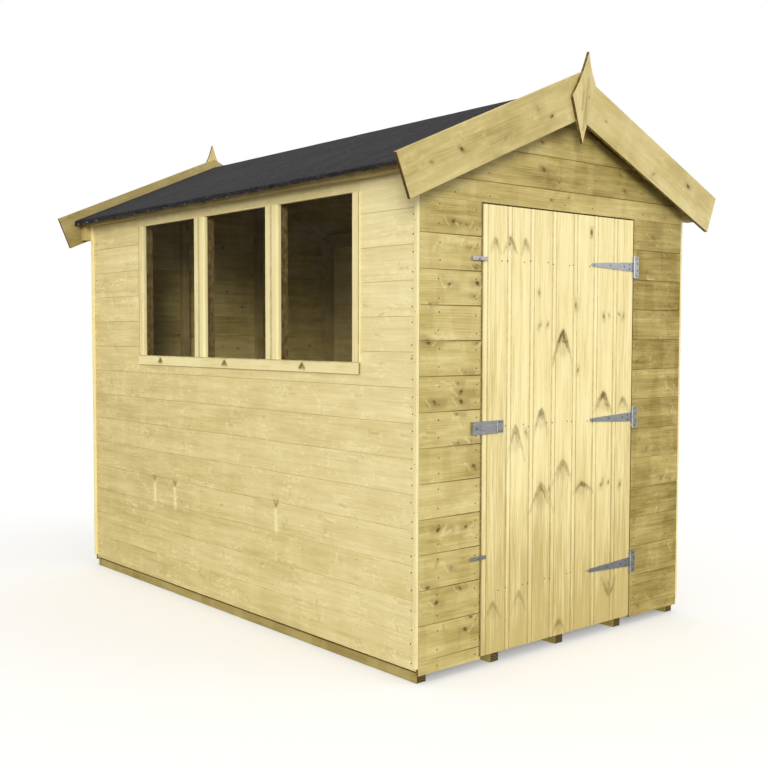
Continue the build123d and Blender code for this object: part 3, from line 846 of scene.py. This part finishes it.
# The left wall: boards below the windows, in front of them and behind them, and one over them.
side_seams = seam_levels(SIDE_SEAM, SIDE_FOOT, EAVES)
regions = [rect(-inner, inner, SIDE_FOOT, SILL_BOTTOM), rect(-WINDOW_ROW[0], inner, SILL_BOTTOM, EAVES),
           rect(-inner, -WINDOW_ROW[1], SILL_BOTTOM, EAVES)]
side_figure = scuffs(rng, 110, -1.18, 1.18, 0.06, 1.03) + whorls(rng, 5, -1.1, 1.1, 0.1, 1.0, 0.2)
for y, z in SIDE_NOTCHES:
    for lean in (-0.010, 0.012):
        side_figure.append((-y + lean, z + 0.016, -y, z - 0.004, 0.007, 0.7))
    side_figure.append((-y, z - 0.02, -y + 0.004, z - 0.1, 0.011, -0.75))
    side_figure.append((-y - 0.03, z, -y - 0.13, z + 0.005, 0.02, 0.2))
side_figure += scuffs(rng, 16, 0.92, 1.18, 1.05, 1.7) + scuffs(rng, 16, -1.18, -0.74, 1.05, 1.7)
side_tones = [-0.2, 0.1, -0.4, 0.1, -0.1, 0.3, -0.1, 0.3, 0.5, 0.7, 1.0, 0.8, 1.1, 1.0, 1.1]
left_boards = Piece("left_boards")
clad(left_boards, left_axes, regions, side_seams, rng, figure=side_figure, tones=side_tones,
     chamfer=0.0013, gap=0.0007, knot_rate=0.3, knot_size=(0.002, 0.004), light=paler_forward)
header = rect(-WINDOW_ROW[1], -WINDOW_ROW[0], WINDOW_TOP, EAVES)
clad(left_boards, left_axes, [header], [WINDOW_TOP, EAVES], rng, tones=[0.9], knot_rate=0)
left_boards.build(side_wood, ["left_cladding_" + part for part in ("lower", "front", "rear", "upper")])

board_up("right_boards", side_wood, "right_cladding", right_axes, [rect(-inner, inner, SIDE_FOOT, EAVES)],
         side_seams, rng, knot_rate=0.8)

# The front: strips of board on both sides of the doorway and the gable over it.
strip_figure = whorls(rng, 30, -0.735, -0.47, 0.06, 1.62, 0.85)
strip_figure += whorls(rng, 14, 0.44, 0.735, 0.06, 1.62, 0.45)
# A painted shadow: a dark line down the strip beside the doorway's left edge.
strip_figure.append((DOORWAY[0] - 0.002, 0.045, DOORWAY[0] - 0.002, DOORWAY_TOP, 0.005, 0.85))
strip_figure += scuffs(rng, 26, -0.74, -0.47, 0.05, 1.62) + scuffs(rng, 26, 0.44, 0.73, 0.05, 1.62, 0.35)
left_tones = [1.0, 0.5, 0.0, 0.7, 0.2, 1.2, 0.5, 0.8, 0.5, 0.7, 1.1, 1.0, 0.6, -0.1]
right_tones = [-1.0, -1.3, -1.4, -1.5, -2.0, -1.1, -1.2, -1.6, -1.2, -1.8, -1.3, -2.0, -1.8, -1.1]
for hand, edges, tones in (("left", (-HALF_WIDTH, DOORWAY[0]), left_tones),
                           ("right", (DOORWAY[1], HALF_WIDTH), right_tones)):
    board_up("front_boards_" + hand, gable_wood, "front_cladding_" + hand, front_axes,
             [rect(*edges, GABLE_FOOT, DOORWAY_TOP)], seam_levels(GABLE_SEAM, GABLE_FOOT, DOORWAY_TOP),
             rng, figure=strip_figure, knot_rate=0, tones=tones)

gable_figure = [stroke for knot in GABLE_KNOTS for stroke in eye(rng, *knot)]
gable_figure += scuffs(rng, 24, -0.7, 0.7, 1.65, 1.9, 0.22)
barge_shadow = (0.14, 1.947, 0.746, 1.72, 0.01, 1.1)
board_up("front_boards_gable", gable_wood, "front_cladding_gable", front_axes, [gable(DOORWAY_TOP)],
         seam_levels(UPPER_SEAM, DOORWAY_TOP, APEX), rng, figure=gable_figure + [barge_shadow],
         knot_rate=0, tones=[0.1, -0.9, -0.4, 0.1])

board_up("rear_boards", gable_wood, "rear_cladding", rear_axes, [gable(GABLE_FOOT)],
         seam_levels(GABLE_SEAM, GABLE_FOOT, APEX), rng, knot_rate=2)

# The door: seven upright boards, each with a second V joint.
door_axes = (Vector((0, -HALF_LENGTH, 0)), Z, -X, -Y)
cover = (DOOR_EDGES[1] - DOOR_EDGES[0]) / 7
door_figure = []
for x, z, *rest in DOOR_FLAMES:
    door_figure += flame(rng, z, -x, *rest)
for x, z, *rest in DOOR_KNOTS:
    door_figure += eye(rng, z, -x, *rest)
board_up("door_face_boards", door_wood, "door_boards", door_axes,
         [rect(DOOR_BOTTOM, DOOR_TOP, -DOOR_EDGES[1], -DOOR_EDGES[0])],
         [-DOOR_EDGES[1] + i * cover for i in range(8)], rng, "door", chamfer=0.0036, gap=0.0014,
         line=0.022, knot_rate=0, figure=door_figure, tones=[-0.2, 0.1, -0.1, 0.1, 0.0, 0.3, 0.1],
         light=darker_below, dark=painted_joint_shade)

# The floor and the roof's boards.
low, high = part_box("floor_deck")
board_up("floor_boards", base_wood, "floor_deck", (Vector((0, 0, high.z)), X, Y, Z),
         [rect(low.x, high.x, low.y, high.y)], seam_levels(low.y, low.y, high.y), rng, chamfer=0.0006,
         proud=0.0)

slope_cos = math.cos(math.atan(SLOPE))
eave = HALF_WIDTH + 0.068
slope_length = eave / slope_cos
for hand, side in (("left", -1), ("right", 1)):
    up_slope = Vector((-side * slope_cos, 0, SLOPE * slope_cos))
    along = Y * -side
    low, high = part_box("roof_boards_" + hand)
    board_up("roof_sheathing_" + hand, frame_wood, "roof_boards_" + hand,
             (Vector((side * eave, 0, APEX - SLOPE * eave)), along, up_slope, along.cross(up_slope)),
             [rect(low.y, high.y, 0, slope_length)], seam_levels(0.0, 0.0, slope_length), rng, proud=0.0)

# Timbers that keep their shape from the CAD.
barge_figure = []
for knot in BARGE_KNOTS:
    for x1, z1, x2, z2, half, strength in eye(rng, *knot):
        barge_figure.append(((x1, -1.262, z1), (x2, -1.262, z2), half, strength))
dress("bearer", "bearers", base_wood, rng, tone=0.2)
frames = [(side + "_timbers", side + "_frame") for side in ("front", "rear", "left", "right")]
frames += [("ridge_timber", "ridge_beam"), ("purlin_timbers", "purlins")]
frames += [("eaves_rail_timber_" + hand, "eaves_rail_" + hand) for hand in ("left", "right")]
for name, node in frames:
    # Painted shade on the left wall's studs, on the faces that look forward and show through the panes.
    painted_reveal_shade = (lambda n: 0.8 * (n.y < -0.8)) if node == "left_frame" else None
    dress(name, node, frame_wood, rng, dark=painted_reveal_shade)
dress("corner_strips", "corner_trims", joinery_wood, rng, knot_rate=0)
for name in ("ledges", "braces"):
    dress(name, "door_" + name, door_wood, rng, "door")
dress("barge_block_timbers", "barge_blocks", barge_wood, rng, knot_rate=0)


def barge_painted_shade(back):
    """Painted shade on a barge board's back, which looks along Y as back does, and on its lower edge."""
    return lambda n: 0.4 * (n.y * back > 0.5) + 0.8 * (n.z < -0.3 and abs(n.y) < 0.5)


for end, back, figure in (("front", 1, barge_figure), ("rear", -1, ())):
    for hand, tone in (("left", -0.1), ("right", 0.5)):
        dress(f"{end}_barge_timber_{hand}", f"{end}_barge_{hand}", barge_wood, rng, bevel=0.0015,
              figure=figure, knot_rate=0, tone=tone, dark=barge_painted_shade(back))

# The window frames: a dark knot in each sill, and lines where stiles and sills meet.
STILE_FACE = -0.759
SILL_TOP = 1.079
for i in range(3):
    low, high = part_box(f"window_frame_{i + 1}")
    middle = low.y + 0.62 * (high.y - low.y)
    lines = [(middle + dy, 1.052, middle, 1.068, 0.0055, 0.9) for dy in (-0.014, 0.0, 0.014)]
    lines += [(y, 1.03, y, 1.7, 0.003, 0.5) for y in (low.y + 0.003, high.y - 0.003)]
    lines.append((low.y, SILL_TOP, high.y, SILL_TOP, 0.003, 0.5))
    figure = [((STILE_FACE, y1, z1), (STILE_FACE, y2, z2), half, strength)
              for y1, z1, y2, z2, half, strength in lines]
    # Painted light: the faces that look forward, into the reveals, are drawn paler.
    dress(f"window_joinery_{i + 1}", f"window_frame_{i + 1}", joinery_wood, rng, bevel=0.0008,
          figure=figure, knot_rate=0, dark=lambda n: -0.5 * (n.y < -0.8))

# Finials: kites with hollow upper edges, the front one a little out of true.
KITES = {"front": ((-0.004, 0.0), (-0.062, 0.168), (0.030, 0.340), (0.069, 0.225)),
         "rear": ((0.0, 0.0), (-0.07, 0.192), (0.0, 0.340), (0.07, 0.192))}
for end, side in (("front", -1), ("rear", 1)):
    low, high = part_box(end + "_finial")
    middle = Vector((0, low.y if side > 0 else high.y, low.z))
    foot, left, tip, right = KITES[end]
    outline = [foot]
    for shoulder, inwards in ((left, 1), (right, -1)):
        edge = []
        for share in (i / 6 for i in range(6)):
            x, z = (a + (b - a) * share for a, b in zip(shoulder, tip))
            hollow = 0.007 * math.sin(math.pi * share)
            edge.append((x + hollow * inwards, z - 0.3 * hollow))
        outline += edge if inwards > 0 else [tip] + edge[::-1]
    axes = (middle, Z, X, Y * side)
    bm = plate([(z, x) for x, z in outline], axes, 0, 0.014)
    sharp = [e for e in bm.edges if e.calc_face_angle() > 0.5]
    bmesh.ops.bevel(bm, geom=sharp, offset=0.0012, segments=1, affect="EDGES")
    lines = [(0.05, -0.004, 0.24, 0.028, 0.004, 0.35), (0.07, 0.012, 0.2, 0.02, 0.003, 0.3),
             (0.12, -0.01, 0.19, -0.002, 0.003, 0.4), (0.17, 0.03, 0.175, 0.031, 0.004, 0.5)]
    finial = Piece(end + "_finial_board")
    # Painted shade on the finial board's edges, all but those that look right.
    finial.take(bm, axes, Grade(rng, (), 0.5 if side < 0 else 0.1, lines if side < 0 else (), None,
                               lambda n: 0.95 * (abs(n.y) < 0.5 and n.x < 0.3)))
    finial.build(barge_wood, [end + "_finial"])

# Roofing felt: a sheet down each slope, folded over the eaves, with an uneven hem.
rng = random.Random(5)
FELT, FOLD = 0.003, 0.009
FLAT_STEPS, BEND_STEPS, HEM_STEPS, COLUMNS = 14, 6, 4, 320
HEM_START = FLAT_STEPS + BEND_STEPS
for hand, side in (("left", -1), ("right", 1)):
    low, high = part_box("roof_felt_" + hand)
    edge_x = high.x if side > 0 else -low.x
    bend, bend_angle = FOLD + FELT, math.pi / 2 - math.atan(SLOPE)
    bend_x, bend_z = edge_x - bend, high.z - SLOPE * edge_x - bend * math.tan(bend_angle / 2)
    outer = []
    for i in range(FLAT_STEPS):
        outer.append((bend_x * i / FLAT_STEPS, high.z - SLOPE * bend_x * i / FLAT_STEPS))
    for i in range(BEND_STEPS + 1):
        turn = bend_angle * (1 - i / BEND_STEPS)
        outer.append((bend_x + bend * math.cos(turn), bend_z + bend * math.sin(turn)))
    bend_end = outer[HEM_START][1]
    for i in range(1, HEM_STEPS + 1):
        outer.append((edge_x, bend_end + (low.z - bend_end) * i / HEM_STEPS))
    bm = bmesh.new()
    sheets = []
    phases = [rng.uniform(0, 6.28) for _ in range(8)]
    rag = [rng.uniform(-1, 1) for _ in range(COLUMNS + 1)]
    for layer in (0, 1):
        rows = []
        for j in range(COLUMNS + 1):
            y = low.y + (high.y - low.y) * j / COLUMNS
            row = []
            for i, (x, z) in enumerate(outer):
                a, b = outer[max(i - 1, 0)], outer[min(i + 1, len(outer) - 1)]
                tangent = Vector((b[0] - a[0], b[1] - a[1])).normalized()
                out = Vector((-tangent.y, tangent.x))
                turns = [phases[k] + y * (3 + 4.1 * k) + i * 0.35 * (k % 3) for k in range(6)]
                wave = sum(math.sin(turn) for turn in turns) / 6
                drop = max(0, i - FLAT_STEPS) / 10
                lift = -0.0008 + 0.0008 * wave + drop * (0.0010 * wave + 0.0006 * rag[j])
                tuck = 0.011 * max(0, i - HEM_START) / HEM_STEPS * (high.y - y) / (high.y - low.y)
                fall = tuck - (0.0022 * rag[j] if i == len(outer) - 1 else 0)
                p = Vector((x, z)) + out * (min(lift, 0.0012) - FELT * layer)
                row.append(bm.verts.new((side * max(p.x, 0.00015), y, p.y + fall)))
            rows.append(row)
        sheets.append(rows)
    last = len(outer) - 1
    over, under = sheets
    for rows in sheets:
        for j in range(COLUMNS):
            for i in range(last):
                bm.faces.new([rows[j][i], rows[j][i + 1], rows[j + 1][i + 1], rows[j + 1][i]])
    for i in range(last):
        for j in (0, COLUMNS):
            bm.faces.new([over[j][i], over[j][i + 1], under[j][i + 1], under[j][i]])
    for j in range(COLUMNS):
        for i in (0, last):
            bm.faces.new([over[j][i], over[j + 1][i], under[j + 1][i], under[j][i]])
    bmesh.ops.recalc_face_normals(bm, faces=bm.faces)
    mesh = bpy.data.meshes.new("felt_sheet_" + hand)
    bm.to_mesh(mesh)
    bm.free()
    for polygon in mesh.polygons:
        polygon.use_smooth = True
    mesh.set_sharp_from_angle(angle=math.radians(50))
    show(mesh, felt, ["roof_felt_" + hand])

# Nails: two in each board over every timber behind it.
rng = random.Random(3)


def nail_rows(columns, first, lowest, highest):
    spots = []
    for column in columns:
        level = first - BOARD_COVER
        while level < highest:
            for share in (0.25, 0.77):
                z = level + BOARD_COVER * share + rng.uniform(-0.008, 0.008)
                if lowest + 0.012 < z < highest - 0.012:
                    spots.append((column + rng.uniform(-0.004, 0.004), z))
            level += BOARD_COVER
    return spots


def nails(name, axes, spots, **look):
    """Nail heads at places (u, v) on a wall."""
    origin, along, across, normal = axes
    heads("nails_" + name, [(origin + along * u + across * v, normal) for u, v in spots], nails_and_slot_shade, **look)


SIDE_ROWS = (SIDE_SEAM, SIDE_FOOT, EAVES)
nails("left", left_axes, nail_rows([1.165, -1.165], *SIDE_ROWS))
nails("left_studs", left_axes, nail_rows([0.877, 0.359, -0.178, -0.696], SIDE_SEAM, SIDE_FOOT, 1.03),
      radius=0.0015, height=0.0004)
nails("right", right_axes, nail_rows([1.165, 0.393, -0.393, -1.165], *SIDE_ROWS))
front_spots = nail_rows([-0.66, -0.478, 0.45, 0.672], GABLE_SEAM, GABLE_FOOT, DOORWAY_TOP)
for x in (-0.57, -0.4, -0.03, 0.14, 0.48, 0.62):
    for z in (1.66, 1.74):
        front_spots.append((x + rng.uniform(-0.02, 0.02), z))
nails("front", front_axes, front_spots)
nails("rear", rear_axes, nail_rows([-0.719, -0.24, 0.24, 0.719], GABLE_SEAM, GABLE_FOOT, EAVES))

# Two nails through each door board over a ledge, left of the hinge straps.
door_spots = []
for level in LEDGE_LEVELS:
    for i in range(1, 14):
        x = DOOR_EDGES[0] + (i + 0.5 * (i % 2)) * cover / 2
        if x < 0.15:
            door_spots.append((x + rng.uniform(-0.006, 0.006), level + rng.uniform(-0.005, 0.005)))
nails("door", front_axes, door_spots, body="door")

strip_spots = []
for side in (-1, 1):
    for end in (-1, 1):
        for k in range(11):
            z = 0.1 + k * 0.162 + rng.uniform(-0.02, 0.02)
            if z < 1.7:
                strip_spots.append(((side * STRIP_FACE, end * 1.1915, z), (side, 0, 0)))
heads("nails_strips", strip_spots, nails_and_slot_shade, 0.0016, 0.0004)

# Ironmongery: screws in the hinges, the hasp and the staple plate, on the face of their plates.
FACE = -HALF_LENGTH - 0.0025
STRAP_HOLES = ((0.392, 0.009), (0.392, -0.009), (0.358, 0.0), (0.27, 0.001), (0.168, 0.0))
PLATE_HOLES = ((0.441, -0.034), (0.446, -0.014), (0.446, 0.014), (0.441, 0.034))
strap_screws = [(x, level + dz) for level in HINGE_LEVELS for x, dz in STRAP_HOLES]
plate_screws = [(x, level + dz) for level in HINGE_LEVELS for x, dz in PLATE_HOLES]
strap_screws += [(x, HASP_LEVEL + dz) for x in (-0.361, -0.348) for dz in (-0.0165, 0.0165)]
plate_screws += [(x, HASP_LEVEL + dz) for x in (-0.487, -0.453) for dz in (-0.017, 0.017)]
sets = (("door", "door", strap_screws), ("wall", "shed", plate_screws))
for name, body, screws in sets:
    heads("screws_" + name, [((x, FACE, z), -Y) for x, z in screws], screw_zinc, 0.0034, 0.0012, body,
          sides=16, sunk=0.0002, dome=0.75)
# Cross slots of painted shade: dark plates on the screw heads and on the turn buttons' pivots.
for name, body, screws in sets:
    crosses("screw_slot_shades_" + name, [((x, FACE, z), -Y) for x, z in screws], 0.0019, 0.0013, body)
for name, level in BUTTON_LEVELS.items():
    crosses("pivot_slot_shade_" + name, [((-0.47, -1.2105, level), -Y)], 0.0032, 0.0001, "turn_button_" + name)

# CAD nodes that stay as they are take the metal and the glass.
for starts, material in ((("hinge", "hasp", "turn_button"), bright_zinc), ("window_pane", glass)):
    for name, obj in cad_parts.items():
        if name.startswith(starts):
            obj.data.materials.clear()
            obj.data.materials.append(material)

# The floor: pale to the camera, darker to the light that it throws back on the shed.
FAR = 40
mesh = bpy.data.meshes.new("ground")
mesh.from_pydata([(-FAR, -FAR, 0), (FAR, -FAR, 0), (FAR, FAR, 0), (-FAR, FAR, 0)], [], [(0, 1, 2, 3)])
ground = add("ground", mesh)
paint = Shade("studio_floor")
on_camera = paint.nodes.new("ShaderNodeLightPath").outputs["Is Camera Ray"]
paint.surface(Base_Color=paint.mix(on_camera, (0.3, 0.3, 0.3, 1), (0.86, 0.86, 0.85, 1)), Roughness=0.9,
              Specular_IOR_Level=0.1, Emission_Color=(1, 1, 1, 1),
              Emission_Strength=paint.times(on_camera, 0.2))
mesh.materials.append(paint.block)

# The world: white where the camera, a gloss or a glass shows it, a little under white as a lamp.
sky = Shade("studio", bpy.data.worlds.new("studio"))
bpy.context.scene.world = sky.block
rays = sky.nodes.new("ShaderNodeLightPath").outputs
seen = sky.math("MAXIMUM", rays["Is Camera Ray"], rays["Is Glossy Ray"])
seen = sky.math("MAXIMUM", seen, rays["Is Transmission Ray"])
sky.surface(Color=(1, 1, 1, 1), Strength=sky.remap(seen, 0.0, 1.0, 0.78, 1.0))


def sun(name, towards, strength, angle):
    light = bpy.data.lights.new(name, "SUN")
    light.energy = strength
    light.angle = math.radians(angle)
    obj = add(name, light)
    obj.rotation_mode = "QUATERNION"
    obj.rotation_quaternion = Vector(towards).to_track_quat("-Z", "Y")


sun("key", towards=(0.60, 0.66, -0.26), strength=1.80, angle=22)
sun("fill", towards=(-0.5, 0.62, -0.3), strength=0.42, angle=40)

# The camera, from a fit to the joints between the boards: the photo's pixels, its lens and its middle.
IMAGE = 768
FOCAL_LENGTH = 1050.1
CENTRE = (349.1, 385.9)
CAMERA_PLACE = (-3.138, -3.736, 1.180)
yaw, pitch, roll = (math.radians(a) for a in (39.45, -2.83, 0.03))
lens = bpy.data.cameras.new("camera")
lens.sensor_width = 36
lens.lens = 36 * FOCAL_LENGTH / IMAGE
lens.shift_x = (IMAGE / 2 - CENTRE[0]) / IMAGE
lens.shift_y = (CENTRE[1] - IMAGE / 2) / IMAGE
camera = add("camera", lens)
camera.matrix_world = (Matrix.Translation(CAMERA_PLACE) @ Matrix.Rotation(-yaw, 4, "Z")
                       @ Matrix.Rotation(math.pi / 2 + pitch, 4, "X") @ Matrix.Rotation(roll, 4, "Z"))
bpy.context.scene.camera = camera
bpy.context.scene.view_settings.view_transform = "Standard"
